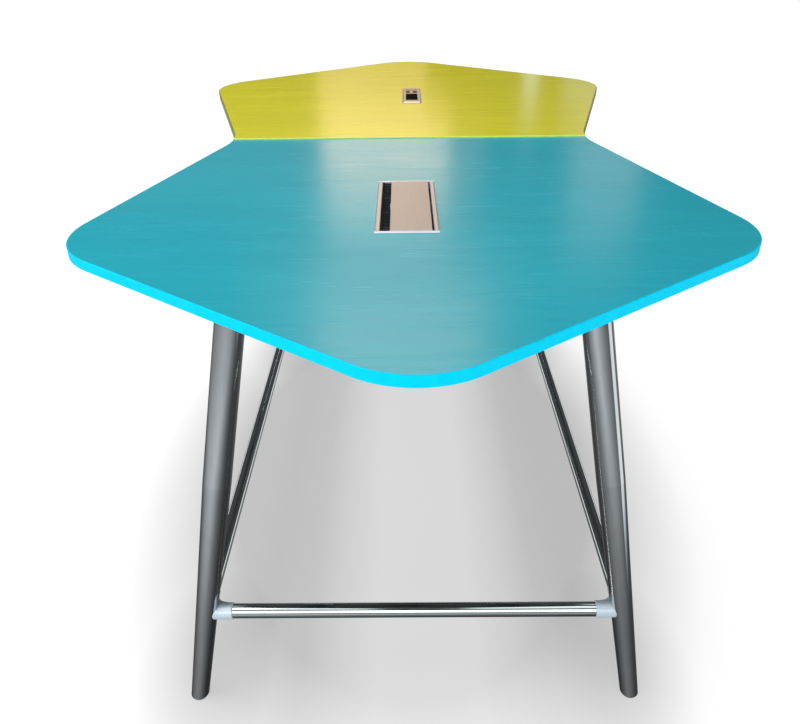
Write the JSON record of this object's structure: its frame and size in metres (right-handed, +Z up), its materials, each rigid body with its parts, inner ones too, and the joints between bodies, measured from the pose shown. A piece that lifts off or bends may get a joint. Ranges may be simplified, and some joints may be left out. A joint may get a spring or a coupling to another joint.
{
  "type": "high desk",
  "caption": "Bar-height shared desk: hourglass top in two colours on splayed tapered legs, with a footrest frame, a lidded cable box and a flush power module.",
  "frame": {"origin": "on the floor under the middle of the waist, at the centre of the bounding box's base", "axes": "+X right along the seam, +Y away from the near (cable box) half, +Z up"},
  "size_m": [1.2526, 2.2862, 1.0575],
  "materials": {
    "near_laminate": "satin teal laminate",
    "far_laminate": "satin yellow laminate",
    "near_edge": "cyan edge band",
    "far_edge": "lime edge band",
    "dowel_wood": "raw beech",
    "rail_paint": "fine texture",
    "black_plastic": "matt",
    "zinc_steel": "zinc plated",
    "leg_chrome": "dark polished chrome",
    "bar_chrome": "bright polished chrome",
    "cast_satin": "satin cast",
    "champagne_aluminium": "satin anodised",
    "bezel_aluminium": "satin anodised",
    "bristle_fibre": "fibre",
    "bin_paint": "fine texture",
    "button_white": "gloss"
  },
  "bodies": {
    "frame": {"top_board_near": "near_laminate", "top_board_far": "far_laminate", "edge_band_near": "near_edge", "edge_band_far": "far_edge", "seam_dowels": "dowel_wood", "side_rail_left": "rail_paint", "side_rail_right": "rail_paint", "cross_rail_near": "rail_paint", "cross_rail_mid": "rail_paint", "cross_rail_far": "rail_paint", "leg_mount_near_left": "rail_paint", "leg_mount_near_right": "rail_paint", "leg_mount_far_left": "rail_paint", "leg_mount_far_right": "rail_paint", "rail_end_plugs": "black_plastic", "cable_brush_holder": "black_plastic", "module_housing": "black_plastic", "module_socket_near": "black_plastic", "module_socket_far": "black_plastic", "module_port_shutters": "black_plastic", "module_button_switch": "black_plastic", "module_mains_inlet": "black_plastic", "glide_near_left": "black_plastic", "glide_near_right": "black_plastic", "glide_far_left": "black_plastic", "glide_far_right": "black_plastic", "rail_screws": "zinc_steel", "mount_bolts": "zinc_steel", "leg_set_screws": "zinc_steel", "connector_bolts": "zinc_steel", "cable_box_screws": "zinc_steel", "module_screws": "zinc_steel", "leg_near_left": "leg_chrome", "leg_near_right": "leg_chrome", "leg_far_left": "leg_chrome", "leg_far_right": "leg_chrome", "footrest_near": "bar_chrome", "footrest_far": "bar_chrome", "footrest_left": "bar_chrome", "footrest_right": "bar_chrome", "connector_near_left": "cast_satin", "connector_near_right": "cast_satin", "connector_far_left": "cast_satin", "connector_far_right": "cast_satin", "cable_box_rail_left": "champagne_aluminium", "cable_box_rail_right": "champagne_aluminium", "cable_box_end_near": "champagne_aluminium", "cable_box_end_far": "champagne_aluminium", "module_frame": "bezel_aluminium", "module_port_plate": "bezel_aluminium", "cable_brush_bristles": "bristle_fibre", "cable_bin": "bin_paint", "cable_box_clamps": "bin_paint", "module_clamps": "bin_paint"},
    "lid": {"cable_box_lid": "champagne_aluminium", "cable_box_hinge_pins": "zinc_steel"},
    "button": {"module_button": "button_white"}
  },
  "joints": [
    {"name": "lid_hinge", "type": "hinge", "parent": "frame", "child": "lid", "pos_m": [0.0338, -0.513, 1.049], "axis": [0, 1, 0], "range_deg": [0, 105]},
    {"name": "button_press", "type": "slide", "parent": "frame", "child": "button", "axis": [0, 0, -1], "range_m": [0, 0.002], "stiffness_N_per_m": 400, "springref_m": -0.001}
  ]
}
